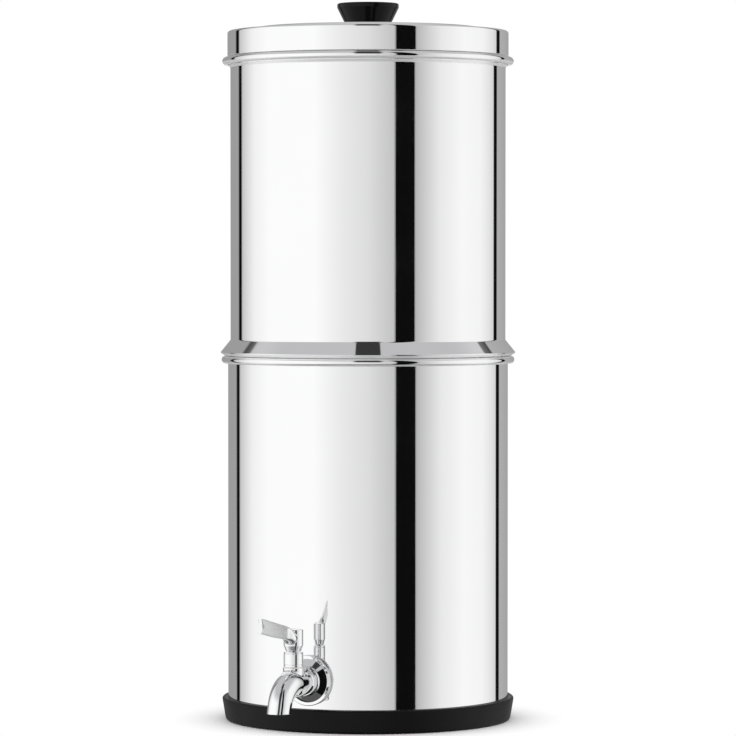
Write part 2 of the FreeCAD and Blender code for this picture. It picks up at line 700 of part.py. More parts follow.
def spindle_seal():
    """O-ring on the spindle, between its collar and the shoulder inside the bonnet."""
    axis_y = -(lower_r + SPINDLE_OUT)
    ring_r = SPINDLE_R + RUNNING_GAP + ORING_R
    centre_z = collar_top_z + RUNNING_GAP + ORING_R
    return Part.makeTorus(ring_r, ORING_R, FreeCAD.Vector(0, axis_y, centre_z))


def tap_bonnet():
    """Round bonnet screwed into the boss, which guides the spindle."""
    solid = spindle_ring(BONNET_R, 0.0, bonnet_foot_z, bonnet_top_z)
    solid = solid.makeChamfer(BLADE_EDGE, [solid.Edges[index] for index in round_edges(solid, bonnet_top_z)])
    solid = solid.fuse(spindle_ring(BONNET_SPIGOT_R, 0.0, bonnet_low_z, bonnet_foot_z))
    solid = solid.cut(spindle_ring(bonnet_bore_r, 0.0, bonnet_low_z, bonnet_shoulder_z))
    return solid.cut(spindle_ring(SPINDLE_R + RUNNING_GAP, 0.0, bonnet_shoulder_z, bonnet_top_z))


def bonnet_seal():
    """Thin flat washer between the boss and the bonnet."""
    return spindle_ring(BONNET_R, BONNET_SPIGOT_R, boss_top_z, bonnet_foot_z)


def blade_outline():
    """Side view of the flat blade, as (out from the spindle axis, height above the hub's foot)."""
    top_slope = (BLADE_TIP_HIGH - BLADE_ROOT_HIGH) / (BLADE_LENGTH - BLADE_ROOT_OUT)
    shoulder = BLADE_LENGTH - 3.2
    return {
        "root_high": (BLADE_ROOT_OUT, BLADE_ROOT_HIGH),
        "tip_high": (shoulder, BLADE_ROOT_HIGH + top_slope * (shoulder - BLADE_ROOT_OUT) + BLADE_SAG),
        "corner_high": (BLADE_LENGTH - 0.6, BLADE_TIP_HIGH - 0.4),
        "notch": (BLADE_LENGTH - BLADE_NOTCH, (BLADE_TIP_HIGH + BLADE_TIP_LOW) / 2.0),
        "corner_low": (BLADE_LENGTH, BLADE_TIP_LOW + 0.5),
        "tip_low": (shoulder, BLADE_TIP_LOW - BLADE_SAG),
        "root_low": (BLADE_ROOT_OUT, BLADE_ROOT_LOW),
    }


def lever_blade():
    """Flat upright blade with a fish-tail end, rising outwards from the neck."""
    side_y = -(lower_r + SPINDLE_OUT)
    corners = {}
    for name, (out, height) in blade_outline().items():
        corners[name] = FreeCAD.Vector(-BLADE_T / 2.0, side_y - out, hub_z + height)
    low_middle = (corners["tip_low"] + corners["root_low"]) / 2.0 - FreeCAD.Vector(0, 0, BLADE_SAG)
    edges = [
        line(corners["root_high"], corners["tip_high"]),
        line(corners["tip_high"], corners["corner_high"]),
        Part.Arc(corners["corner_high"], corners["notch"], corners["corner_low"]).toShape(),
        line(corners["corner_low"], corners["tip_low"]),
        Part.Arc(corners["tip_low"], low_middle, corners["root_low"]).toShape(),
        line(corners["root_low"], corners["root_high"]),
    ]
    face = Part.Face(Part.Wire(edges))
    return face.extrude(FreeCAD.Vector(BLADE_T, 0, 0))


def lever_neck():
    """Round neck that rises outwards from the hub to the blade, with a rounded end."""
    slope = math.radians(NECK_SLOPE_DEG)
    start = FreeCAD.Vector(0, -(lower_r + SPINDLE_OUT), hub_z + NECK_RISE)
    along = FreeCAD.Vector(0, -math.cos(slope), math.sin(slope))
    neck = Part.makeCylinder(NECK_R, NECK_LENGTH, start, along)
    end = start + along * NECK_LENGTH
    rims = []
    for edge in neck.Edges:
        if isinstance(edge.Curve, Part.Circle) and (edge.Curve.Center - end).Length < 1e-6:
            rims.append(edge)
    return neck.makeFillet(NECK_R / 3.0, rims)


def tap_lever():
    """Lever in one piece: hub, neck and blade, with a square socket below and a recess above."""
    axis_y = -(lower_r + SPINDLE_OUT)
    chamfer_top_z = hub_z + HUB_CHAMFER_RISE
    axis_foot = FreeCAD.Vector(0, axis_y, hub_z)
    foot = Part.makeCone(HUB_FOOT_R, HUB_R, HUB_CHAMFER_RISE, axis_foot)
    hub = spindle_ring(HUB_R, 0.0, chamfer_top_z, hub_top_z)
    solid = foot.fuse(hub)
    solid = solid.fuse(lever_neck())
    solid = solid.fuse(lever_blade())
    solid = solid.cut(spindle_ring(SPINDLE_R + RUNNING_GAP, 0.0, hub_z, square_low_z))
    side = SPINDLE_SQUARE + 2.0 * SPINDLE_SQUARE_FIT
    corner = FreeCAD.Vector(-side / 2.0, axis_y - side / 2.0, square_low_z)
    solid = solid.cut(Part.makeBox(side, side, SPINDLE_SQUARE_LENGTH, corner))
    solid = solid.cut(spindle_ring(LEVER_SCREW_R + COLLAR_GAP, 0.0, spindle_top_z, hub_floor_z))
    solid = solid.cut(spindle_ring(HUB_RECESS_R, 0.0, hub_floor_z, hub_top_z + NECK_R))
    return solid


def lever_screw():
    """Small screw that holds the lever down on the spindle, with a hexagonal recess."""
    head_top_z = hub_floor_z + LEVER_SCREW_HEAD_H
    head = spindle_ring(LEVER_SCREW_HEAD_R, 0.0, hub_floor_z, head_top_z)
    shank = spindle_ring(LEVER_SCREW_R, 0.0, spindle_top_z - LEVER_SCREW_DEPTH, hub_floor_z)
    recess = hexagon(LEVER_SCREW_HEAD_R, head_top_z - LEVER_SCREW_HEAD_H / 2.0, head_top_z)
    recess.translate(FreeCAD.Vector(0, -(lower_r + SPINDLE_OUT), 0))
    return head.fuse(shank).cut(recess)


def lever_cap():
    """Chromed cap pressed into the hub's recess."""
    cap = spindle_ring(HUB_RECESS_R, 0.0, hub_top_z - CAP_HEIGHT, hub_top_z)
    return cap.makeChamfer(BLADE_EDGE / 2.0, [cap.Edges[index] for index in round_edges(cap, hub_top_z)])


def build_nodes():
    """Every separate piece by its node name."""
    first, second, third, fourth = hole_places()
    nodes = {
        "base_ring": base_ring(),
        "lower_wall": lower_wall(),
        "lower_floor": lower_floor(),
        "upper_wall": upper_wall(),
        "upper_floor": upper_floor(),
        "lid_shell": lid_shell(),
        "lid_knob": lid_knob(),
        "knob_insert": knob_insert(),
        "knob_washer": knob_washer(),
        "knob_screw": knob_screw(),
        "tap_flange": tap_flange(),
        "tap_body": tap_body(),
        "tap_outer_gasket": tap_outer_gasket(),
        "tap_inner_gasket": tap_inner_gasket(),
        "tap_washer": tap_washer(),
        "tap_lock_nut": tap_lock_nut(),
        "inlet_ball_seat": ball_seat(-1.0),
        "outlet_ball_seat": ball_seat(1.0),
        "valve_ball": valve_ball(),
        "tap_spindle": tap_spindle(),
        "spindle_seal": spindle_seal(),
        "tap_bonnet": tap_bonnet(),
        "bonnet_seal": bonnet_seal(),
        "tap_lever": tap_lever(),
        "lever_screw": lever_screw(),
        "lever_cap": lever_cap(),
    }
    for side, place in (("right", first), ("left", second)):
        nodes[side + "_carbon_candle"] = carbon_candle(*place)
        nodes[side + "_candle_base"] = candle_base(*place)
        nodes[side + "_candle_cap"] = candle_cap(*place)
        nodes[side + "_candle_gasket"] = floor_gasket(*place)
        nodes[side + "_candle_wing_nut"] = wing_nut(*place)
    nodes["blanking_plugs"] = Part.makeCompound([blanking_plug(*third), blanking_plug(*fourth)])
    nodes["plug_gaskets"] = Part.makeCompound([floor_gasket(*third), floor_gasket(*fourth)])
    nodes["plug_nuts"] = Part.makeCompound([plug_nut(*third), plug_nut(*fourth)])
    return nodes


def write_nodes(nodes):
    """Writes one STEP file per node, after a check that each holds only sound solids."""
    os.makedirs("parts", exist_ok=True)
    for name, shape in nodes.items():
        if not shape.isValid() or not shape.Solids:
            raise ValueError(name + " is not a sound solid")
        shape.exportStep("parts/" + name + ".step")


write_nodes(build_nodes())
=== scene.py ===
import math
import bpy
import bmesh
from mathutils import Matrix, Vector


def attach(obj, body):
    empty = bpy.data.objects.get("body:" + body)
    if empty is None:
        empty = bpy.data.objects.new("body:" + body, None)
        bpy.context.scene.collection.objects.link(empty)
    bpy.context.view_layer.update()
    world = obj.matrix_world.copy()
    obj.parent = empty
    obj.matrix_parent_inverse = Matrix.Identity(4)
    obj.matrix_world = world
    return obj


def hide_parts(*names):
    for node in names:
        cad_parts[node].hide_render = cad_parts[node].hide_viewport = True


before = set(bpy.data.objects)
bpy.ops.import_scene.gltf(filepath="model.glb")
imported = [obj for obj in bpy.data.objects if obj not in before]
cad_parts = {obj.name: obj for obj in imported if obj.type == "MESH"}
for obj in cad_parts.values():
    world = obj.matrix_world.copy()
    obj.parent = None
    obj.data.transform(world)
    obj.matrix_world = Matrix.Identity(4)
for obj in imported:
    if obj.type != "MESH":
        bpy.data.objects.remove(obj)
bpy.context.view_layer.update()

# Base ring
# A black rubber ring that the lower chamber stands in, moulded in one piece. Its sole goes under
# the wall's edge, and its tapered skirt grips the wall by its own stretch. Sizes are millimetres.
LOWER_R = 103.5
SHEET = 0.8
RING_HEIGHT = 17
SOLE_HEIGHT = 4
SOLE_WIDTH = 13.5


def arc_points(centre, radius, start, end, steps):
    """Points on an arc from one angle to another, in radians, both ends included."""
    angles = [start + (end - start) * step / steps for step in range(steps + 1)]
    return [(centre[0] + radius * math.cos(a), centre[1] + radius * math.sin(a)) for a in angles]


def bent_path(corners, support=0.4, steps=8):
    """Points along a path of (r, z, bend), with an arc at each bend and a point close beside it."""
    points = [(corners[0][0], corners[0][1])]
    for before, here, after in zip(corners[:-2], corners[1:-1], corners[2:]):
        corner = Vector(here[:2])
        arriving = (corner - Vector(before[:2])).normalized()
        leaving = (Vector(after[:2]) - corner).normalized()
        if here[2] <= 0:
            points.append(tuple(corner))
            continue
        turn = math.atan2(arriving.cross(leaving), arriving.dot(leaving))
        reach = here[2] * math.tan(abs(turn) / 2)
        side = Vector((-arriving.y, arriving.x)) * math.copysign(1, turn)
        start = corner - arriving * reach
        centre = start + side * here[2]
        first = math.atan2(start.y - centre.y, start.x - centre.x)
        points.append(tuple(start - arriving * support))
        points.extend(arc_points(centre, here[2], first, first + turn, steps))
        points.append(tuple(corner + leaving * (reach + support)))
    points.append((corners[-1][0], corners[-1][1]))
    return points


def finish_mesh(name, bm, crease_deg=32):
    """Turns a bmesh in millimetres into a smooth mesh, sharp at edges over crease_deg."""
    bmesh.ops.recalc_face_normals(bm, faces=bm.faces)
    mesh = bpy.data.meshes.new(name)
    bm.to_mesh(mesh)
    bm.free()
    mesh.transform(Matrix.Scale(0.001, 4))
    mesh.shade_smooth()
    mesh.set_sharp_from_angle(angle=math.radians(crease_deg))
    return mesh


def new_piece(name, bm, body, material, nodes, crease_deg=32):
    """Puts a shape in the scene as a piece that rides a body and stands for CAD nodes."""
    mesh = finish_mesh(name, bm, crease_deg)
    mesh.materials.append(material)
    piece = bpy.data.objects.new(name, mesh)
    bpy.context.scene.collection.objects.link(piece)
    weighted = piece.modifiers.new("even normals", "WEIGHTED_NORMAL")
    weighted.keep_sharp = True
    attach(piece, body)
    if nodes:
        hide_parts(*nodes)
    return piece


def skin(bm, loops, wrap=False):
    """Joins each loop of points to the next, and the last to the first or else with end caps."""
    rows = [[bm.verts.new(spot) for spot in loop] for loop in loops]
    pairs = list(zip(rows, rows[1:] + rows[:1])) if wrap else list(zip(rows, rows[1:]))
    for row, after in pairs:
        if len(row) == 1 and len(after) == 1:
            continue
        for step in range(max(len(row), len(after))):
            corners = []
            for line, column in ((row, step), (row, step + 1), (after, step + 1), (after, step)):
                vert = line[column % len(line)]
                if vert not in corners:
                    corners.append(vert)
            bm.faces.new(corners)
    if not wrap:
        for row in (rows[0], rows[-1]):
            if len(row) > 2:
                bm.faces.new(row)


def spin(bm, profile, place=None, segments=128):
    """Adds a closed outline of (r, z) turned about the Z axis, then moved by the place matrix."""
    loops = []
    for r, z in profile:
        count = segments if r > 1e-6 else 1
        angles = [2 * math.pi * step / segments for step in range(count)]
        spots = [Vector((r * math.cos(a), r * math.sin(a), z)) for a in angles]
        loops.append([place @ spot for spot in spots] if place else spots)
    skin(bm, loops, wrap=True)


class Wire:
    """A shader socket that takes part in sums, so that shader maths reads as an expression."""

    def __init__(self, tree, socket):
        self.tree = tree
        self.socket = socket

    def maths(self, operation, *terms):
        """Adds a Math node that works on the terms."""
        return self.tree.add("ShaderNodeMath", {"operation": operation}, dict(enumerate(terms)))

    def __add__(self, other):
        return self.maths("ADD", self, other)

    def __sub__(self, other):
        return self.maths("SUBTRACT", self, other)

    def __rsub__(self, other):
        return self.maths("SUBTRACT", other, self)

    def __mul__(self, other):
        return self.maths("MULTIPLY", self, other)

    def __abs__(self):
        return self.maths("ABSOLUTE", self)

    __radd__ = __add__
    __rmul__ = __mul__

    def step(self, low, high, bottom=0.0, top=1.0):
        """A soft step: bottom where the value is under low, top where it is over high."""
        sockets = dict(enumerate((self, low, high, bottom, top)))
        return self.tree.add("ShaderNodeMapRange", {"interpolation_type": "SMOOTHSTEP"}, sockets)


def set_stops(elements, levels):
    """Sets a ramp's stops from pairs of a place between 0 and 1 and a grey level."""
    while len(elements) < len(levels):
        elements.new(0.5)
    for stop, (position, level) in zip(elements, levels):
        stop.position = position
        stop.color = (level, level, level, 1)


class Tree:
    """A node tree that is filled through one method."""

    def __init__(self, tree):
        self.tree = tree
        tree.nodes.clear()

    def add(self, kind, settings=None, sockets=None, out=0):
        """Adds a node: its settings or a ramp's stops first, then its sockets' values or links."""
        node = self.tree.nodes.new(kind)
        for name, value in (settings or {}).items():
            if name == "stops":
                set_stops(node.color_ramp.elements, value)
            else:
                setattr(node, name, value)
        for name, value in (sockets or {}).items():
            if isinstance(value, Wire):
                self.tree.links.new(value.socket, node.inputs[name])
            else:
                node.inputs[name].default_value = value
        return Wire(self, node.outputs[out]) if node.outputs else node

    def place(self, scale=(1.0, 1.0, 1.0), turn=(0.0, 0.0, 0.0)):
        """The piece's own coordinates, turned and then drawn out, for a texture to lie on."""
        spot = self.add("ShaderNodeTexCoord", out="Object")
        return self.add("ShaderNodeMapping", sockets={"Vector": spot, "Scale": scale, "Rotation": turn})

    def noise(self, scale, detail=3.0, place=None, rough=0.5):
        """Noise with so many cells a metre."""
        sockets = {"Vector": place or self.place(), "Scale": scale, "Detail": detail, "Roughness": rough}
        return self.add("ShaderNodeTexNoise", sockets=sockets)

    def dot(self, first, second):
        """How far one vector goes along another."""
        sockets = {0: first, 1: second}
        return self.add("ShaderNodeVectorMath", {"operation": "DOT_PRODUCT"}, sockets, out="Value")

    def blend(self, share, first, second):
        """A colour between two others."""
        colours = {0: share, 6: first, 7: second}
        return self.add("ShaderNodeMix", {"data_type": "RGBA"}, colours, out=2)

    def bump(self, height, depth, strength=1.0):
        """A bumped normal from a height between 0 and 1 that stands for so many metres."""
        sockets = {"Strength": strength, "Distance": depth, "Height": height}
        return self.add("ShaderNodeBump", sockets=sockets)


def new_material(name, build):
    """A material whose principled shader takes the sockets that build gives for its tree."""
    material = bpy.data.materials.new(name)
    material.use_nodes = True
    tree = Tree(material.node_tree)
    shader = tree.add("ShaderNodeBsdfPrincipled", sockets=build(tree))
    tree.add("ShaderNodeOutputMaterial", sockets={"Surface": shader})
    return material


def rubber(tree):
    """Satin black rubber: a fine moulded grain, dull patches and a few pale specks of dust."""
    patches = tree.noise(45.0, 4.0)
    dust = tree.noise(1100.0, 5.0).step(0.66, 0.74) * patches.step(0.4, 0.7)
    return {
        "Base Color": tree.blend(dust * 0.2, (0.0035, 0.0035, 0.0038, 1), (0.04, 0.04, 0.038, 1)),
        "Roughness": 0.34 + patches * 0.22,
        "Specular IOR Level": 0.14,
        "Normal": tree.bump(tree.noise(2400.0, 2.0), 0.00005, 0.3),
    }


RUBBER = new_material("black rubber", rubber)

bm = bmesh.new()
ring_corners = [
    (LOWER_R - SOLE_WIDTH, 0, 0),
    (LOWER_R + 1.8, 0, 2.4),
    (LOWER_R + 4.65, RING_HEIGHT, 1.6),
    (LOWER_R, RING_HEIGHT, 0),
    (LOWER_R, SOLE_HEIGHT, 0),
    (LOWER_R - SOLE_WIDTH, SOLE_HEIGHT, 0),
]
spin(bm, bent_path(ring_corners), segments=256)
new_piece("rubber_base_ring", bm, "lower_chamber", RUBBER, ["base_ring"])

# Lower chamber wall and floor
# A tube of 0.8 mm stainless sheet, welded, mirror polished, and rolled outwards at the rim into
# a bead. The floor pan is pressed from the same sheet and seam welded inside the wall's foot.
LOWER_RIM_Z = 266.4
BEAD_R = 2.8


def steel(tree):
    """Mirror polished sheet with fine lines and soft smudges, left satin on the inside."""
    lines = tree.noise(1.0, 2.0, tree.place((14.0, 14.0, 5200.0)))
    hairs = tree.noise(1.0, 2.0, tree.place((30.0, 30.0, 4200.0), (0.35, 0.1, 0.0))).step(0.7, 0.78)
    smudges = tree.noise(16.0, 5.0)
    waves = tree.noise(9.0, 1.0)
    facing = [tree.add("ShaderNodeTexCoord", out=name) for name in ("Normal", "Object")]
    outwards = tree.dot(*facing)
    inside = outwards.step(-0.06, -0.03, 1.0, 0.0)
    return {
        "Base Color": tree.blend(smudges, (0.88, 0.88, 0.885, 1), (0.91, 0.91, 0.912, 1)),
        "Metallic": 1.0 - inside * 0.4,
        "Roughness": 0.025 + smudges.step(0.45, 0.8) * 0.03 + hairs * 0.08 + inside * 0.3,
        "Normal": tree.bump(waves + lines * 0.0012 + hairs * 0.002, 0.00006, 0.5),
    }


STEEL = new_material("mirror polished steel", steel)


def rolled_rim(inner_r, rim_z):
    """The outline of a rim bead, rolled outwards, from the wall's outside to its inside."""
    centre = (inner_r + BEAD_R, rim_z)
    start, end = math.pi, math.radians(-125)
    outer = arc_points(centre, BEAD_R, end, start, 32)
    return arc_points(centre, BEAD_R - SHEET, start, end, 32) + outer


def kept_node(name, material, bevel=0.0):
    """Finishes a CAD node that stays in view: its material, smooth shading and softened edges."""
    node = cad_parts[name]
    node.data.materials.clear()
    node.data.materials.append(material)
    node.data.shade_smooth()
    node.data.set_sharp_from_angle(angle=math.radians(30))
    if bevel:
        edge = node.modifiers.new("soft edges", "BEVEL")
        edge.width = bevel
        edge.segments = 2
        edge.limit_method = "ANGLE"
        edge.angle_limit = math.radians(40)
        edge.use_clamp_overlap = True


bm = bmesh.new()
inner_r = LOWER_R - SHEET
heights = [SOLE_HEIGHT, SOLE_HEIGHT + 1, LOWER_RIM_Z - 0.4]
wall = [(LOWER_R, z) for z in heights] + rolled_rim(inner_r, LOWER_RIM_Z)
wall += [(inner_r, z) for z in reversed(heights)]
spin(bm, wall, segments=360)
new_piece("lower_chamber_wall", bm, "lower_chamber", STEEL, ["lower_wall"])
kept_node("lower_floor", STEEL)

# Tap flange
# Turned brass, chrome plated: a threaded shank that goes through the wall, a round flange that
# presses a washer against it, and a bell that narrows to the tap's barrel.
TAP_Z = 38.0
SPINDLE_Y = -130.0
SHANK_R = 6.0
SHANK_END = -14
WASHER_T = 1
FLANGE_R = 18.25
FLANGE_FRONT = 3.2
BODY_BACK = 11.4
BARREL_R = 9.7
TAP_AXIS = Matrix.Translation((0, -LOWER_R, TAP_Z)) @ Matrix.Rotation(math.radians(90), 4, "X")


def chrome(tree):
    """Bright plate: a very slight orange peel, dull water spots and a few fine scratches."""
    spots = tree.noise(260.0, 4.0)
    scratches = tree.noise(1.0, 2.0, tree.place((60.0, 900.0, 4000.0), (0.5, 0.3, 0.2))).step(0.7, 0.76)
    peel = tree.noise(420.0, 1.0)
    return {
        "Base Color": tree.blend(spots, (0.87, 0.875, 0.885, 1), (0.92, 0.92, 0.925, 1)),
        "Metallic": 1.0,
        "Roughness": 0.035 + spots.step(0.5, 0.8) * 0.05 + scratches * 0.1,
        "Normal": tree.bump(peel + scratches * 0.1, 0.00001, 0.4),
    }


CHROME = new_material("bright chrome plate", chrome)


def lever_plate(tree):
    """The same plate on the lever, whose flat blade was only satin polished before plating."""
    sockets = chrome(tree)
    out = tree.dot(tree.add("ShaderNodeTexCoord", out="Object"), (0, 1, 0))
    grain = tree.noise(1.0, 2.0, tree.place((900.0, 60.0, 2400.0)))
    satin = out.step(-0.1435, -0.1415, 1.0, 0.0)
    sockets["Roughness"] = sockets["Roughness"] + satin * (0.24 + grain * 0.1)
    return sockets


LEVER_PLATE = new_material("satin chrome plate", lever_plate)


def thread(bm, radius, depth, pitch, low, high, place, segments=48):
    """A screw thread on a rod, closed at both ends, from height low to height high."""
    rows = int((high - low) / pitch * 8)
    loops = [[place @ Vector((0, 0, low))]]
    for row in range(rows + 1):
        z = low + (high - low) * row / rows
        loop = []
        for step in range(segments):
            turn = step / segments
            swing = abs(((z / pitch - turn) % 1.0) * 2 - 1)
            fade = min(1.0, 4 * min(row, rows - row) / rows)
            r = radius - depth * min(1.0, swing * 1.3) * fade
            angle = 2 * math.pi * turn
            loop.append(place @ Vector((r * math.cos(angle), r * math.sin(angle), z)))
        loops.append(loop)
    loops.append([place @ Vector((0, 0, high))])
    skin(bm, loops)


bm = bmesh.new()
thread(bm, SHANK_R, 0.7, 1.5, SHANK_END, 0.4, TAP_AXIS)
flange_corners = [
    (0, 0.2, 0),
    (SHANK_R, 0.2, 0),
    (SHANK_R, WASHER_T, 0),
    (FLANGE_R, WASHER_T, 0.8),
    (FLANGE_R, FLANGE_FRONT, 0.8),
    (15.7, FLANGE_FRONT, 0.4),
    (10.9, 7.3, 2.4),
    (10.35, BODY_BACK - 0.3, 0.25),
    (9.75, BODY_BACK, 0),
    (0, BODY_BACK, 0),
]
spin(bm, bent_path(flange_corners, support=0.12), TAP_AXIS, segments=160)
new_piece("tap_flange_and_shank", bm, "lower_chamber", CHROME, ["tap_flange"])

# Tap body
# Cast brass, polished and chrome plated: a level barrel that holds the ball, a boss for the
# bonnet on top, and a spout that bends down and thins towards its level, open end.
SPOUT_BEND_OUT = 29.6
SPOUT_BEND_R = 21.3
SPOUT_TURN = math.radians(75)
SPOUT_END_Z = 18.9
SPOUT_TIP_R = 8.45
BOSS_R = 7.6
BOSS_FOOT_R = 9.3
BOSS_TOP_Z = TAP_Z + 11.6


def spout_ring(turn, radius, count=72):
    """A ring of points square to the spout's centre line, where the line has turned so far down."""
    centre = Vector((0, -LOWER_R - SPOUT_BEND_OUT - SPOUT_BEND_R * math.sin(turn), TAP_Z))
    centre.z -= SPOUT_BEND_R * (1 - math.cos(turn))
    up = Vector((0, -math.sin(turn), math.cos(turn)))
    spots = []
    for step in range(count):
        angle = 2 * math.pi * step / count
        spots.append(centre + radius * (math.cos(angle) * Vector((1, 0, 0)) + math.sin(angle) * up))
    return spots


def spout_skin(outer_r, tip_r, first_turn, steps=28, end_lift=0.0):
    """Rings from the bend's start to the level cut at the spout's end."""
    rings = []
    for step in range(steps + 1):
        share = step / steps
        turn = first_turn + (SPOUT_TURN - first_turn) * share
        rings.append(spout_ring(turn, outer_r + (tip_r - outer_r) * share))
    along = Vector((0, -math.cos(SPOUT_TURN), -math.sin(SPOUT_TURN)))
    last = rings[-1]
    for share in (0.2, 0.45, 0.7, 0.9, 1.0):
        cut = []
        for spot in last:
            reach = (spot.z - SPOUT_END_Z - end_lift) / -along.z
            cut.append(spot + along * reach * share)
        rings.append(cut)
    return rings


bm = bmesh.new()
barrel = []
for out in (BODY_BACK, 11.6, 14, 20, 26, 29):
    ring = [spot + Vector((0, SPOUT_BEND_OUT - out, 0)) for spot in spout_ring(0, BARREL_R)]
    barrel.append(ring)
outside = spout_skin(BARREL_R, SPOUT_TIP_R, 0.0, end_lift=0.35)
lip = [spot.lerp(Vector((0, -LOWER_R - 52, SPOUT_END_Z)), 0.03) for spot in outside[-1]]
lip = [Vector((spot.x, spot.y, SPOUT_END_Z + 0.08)) for spot in lip]
inside = spout_skin(4.6, 6.8, 0.35)
inside.reverse()
skin(bm, [[Vector((0, -LOWER_R - BODY_BACK, TAP_Z))]] + barrel + outside + [lip] + inside)

boss = []
for step in range(96):
    angle = 2 * math.pi * step / 96
    column = []
    for inset, drop in ((0.5, 0), (0.15, 0.05), (0, 0.25), (0, 0.5)):
        column.append((BOSS_R - inset, BOSS_TOP_Z - drop))
    wall_z = TAP_Z + math.sqrt(BARREL_R ** 2 - (BOSS_R * math.cos(angle)) ** 2)
    foot_z = TAP_Z + math.sqrt(BARREL_R ** 2 - (BOSS_FOOT_R * math.cos(angle)) ** 2)
    for part in range(9):
        share = part / 8
        weights = ((1 - share) ** 2, 2 * share * (1 - share), share ** 2)
        r = (weights[0] + weights[1]) * BOSS_R + weights[2] * BOSS_FOOT_R
        z = weights[0] * (wall_z + 1.4) + weights[1] * wall_z + weights[2] * foot_z
        column.append((r, min(z, BOSS_TOP_Z - 0.7)))
    column.append((BOSS_FOOT_R - 0.6, foot_z - 0.8))
    boss.append([Vector((r * math.cos(angle), SPINDLE_Y + r * math.sin(angle), z)) for r, z in column])
loops = [[Vector((0, SPINDLE_Y, BOSS_TOP_Z))]] + [list(row) for row in zip(*boss)]
skin(bm, loops + [[Vector((0, SPINDLE_Y, TAP_Z + 2))]])
new_piece("tap_barrel_and_spout", bm, "lower_chamber", CHROME, ["tap_body"], 40)

# Tap bonnet
# A short turned column screwed into the boss over a thin plastic washer. It guides the spindle
# and has two shallow grooves from the cutting tool.
SPINDLE_AXIS = Matrix.Translation((0, SPINDLE_Y, 0))
BONNET_R = 7.1
BONNET_LOW_Z = 50.1
BONNET_TOP_Z = 61.0


def white_plastic(tree):
    """Pale moulded plastic with a trace of unevenness."""
    tone = tree.noise(400.0, 3.0)
    return {
        "Base Color": tree.blend(tone, (0.74, 0.73, 0.7, 1), (0.84, 0.83, 0.8, 1)),
        "Roughness": 0.38 + tone * 0.2,
        "Normal": tree.bump(tree.noise(1500.0, 2.0), 0.00003, 0.4),
    }


WHITE_PLASTIC = new_material("white plastic", white_plastic)

bm = bmesh.new()
bonnet_corners = [
    (0, BONNET_LOW_Z, 0),
    (BONNET_R, BONNET_LOW_Z, 0.3),
    (BONNET_R, BONNET_LOW_Z + 1.5, 0.1),
    (BONNET_R - 0.2, BONNET_LOW_Z + 1.7, 0.1),
    (BONNET_R - 0.2, BONNET_LOW_Z + 2.0, 0.1),
    (BONNET_R, BONNET_LOW_Z + 2.2, 0.1),
    (BONNET_R, BONNET_TOP_Z - 1.4, 0.1),
    (BONNET_R - 0.25, BONNET_TOP_Z - 1.1, 0.1),
    (BONNET_R - 0.25, BONNET_TOP_Z - 0.9, 0.1),
    (BONNET_R - 0.1, BONNET_TOP_Z - 0.7, 0.1),
    (BONNET_R - 0.1, BONNET_TOP_Z, 0.35),
    (3.0, BONNET_TOP_Z, 0),
    (0, BONNET_TOP_Z, 0),
]
spin(bm, bent_path(bonnet_corners, support=0.05, steps=4), SPINDLE_AXIS)
new_piece("tap_bonnet_column", bm, "lower_chamber", CHROME, ["tap_bonnet"])
for name in ("bonnet_seal", "inlet_ball_seat", "outlet_ball_seat"):
    kept_node(name, WHITE_PLASTIC)

# Tap washers and lock nut
# A silicone washer on each side of the wall, a steel washer and a hexagonal nut. The nut is
# screwed along the shank from inside the chamber and pulls the flange against the wall.


def silicone(tree):
    """Soft cloudy silicone."""
    tone = tree.noise(120.0, 4.0)
    return {
        "Base Color": tree.blend(tone, (0.7, 0.7, 0.68, 1), (0.82, 0.82, 0.8, 1)),
        "Roughness": 0.42 + tone * 0.2,
        "Subsurface Weight": 0.2,
        "Normal": tree.bump(tree.noise(900.0, 3.0), 0.00005, 0.4),
    }


def plain_steel(tree):
    """Machined steel with turning marks and a satin sheen."""
    marks = tree.noise(1.0, 2.0, tree.place((300.0, 5000.0, 300.0)))
    tone = tree.noise(180.0, 4.0)
    return {
        "Base Color": tree.blend(tone, (0.5, 0.5, 0.51, 1), (0.62, 0.62, 0.63, 1)),
        "Metallic": 1.0,
        "Roughness": 0.24 + tone * 0.14,
        "Normal": tree.bump(marks, 0.00002, 0.5),
    }


SILICONE = new_material("white silicone", silicone)
PLAIN_STEEL = new_material("plain steel", plain_steel)
kept_node("tap_outer_gasket", SILICONE)
kept_node("tap_inner_gasket", SILICONE)
kept_node("tap_washer", PLAIN_STEEL, 0.0002)
kept_node("tap_lock_nut", PLAIN_STEEL, 0.0004)

# Ball, spindle and seal
# The chromed ball has a cross bore. The steel spindle turns it by a tongue in its slot, and an
# O-ring seals the spindle under the bonnet.


def brass(tree):
    """Bare turned brass with a little tarnish."""
    tarnish = tree.noise(90.0, 5.0)
    marks = tree.noise(1.0, 2.0, tree.place((200.0, 200.0, 6000.0)))
    return {
        "Base Color": tree.blend(tarnish.step(0.4, 0.75), (0.78, 0.56, 0.24, 1), (0.55, 0.36, 0.15, 1)),
        "Metallic": 1.0,
        "Roughness": 0.2 + tarnish * 0.18,
        "Normal": tree.bump(marks, 0.00002, 0.4),
    }


BRASS = new_material("turned brass", brass)
kept_node("valve_ball", CHROME)
kept_node("tap_spindle", PLAIN_STEEL)
kept_node("spindle_seal", RUBBER)

# Tap lever
# Cast and chrome plated in one piece: a hub that sits on the spindle's square, a round neck that
# rises outwards, and a flat upright blade with a fish-tail end. A screw holds it under a cap.
HUB_Z = 61.3
HUB_R = 7.1
HUB_TOP_Z = HUB_Z + 15.7
RECESS_R = 5.05
BLADE_OUT = 50.0
TAIL_OUT = 50.6
TAIL_DEPTH = 5.0

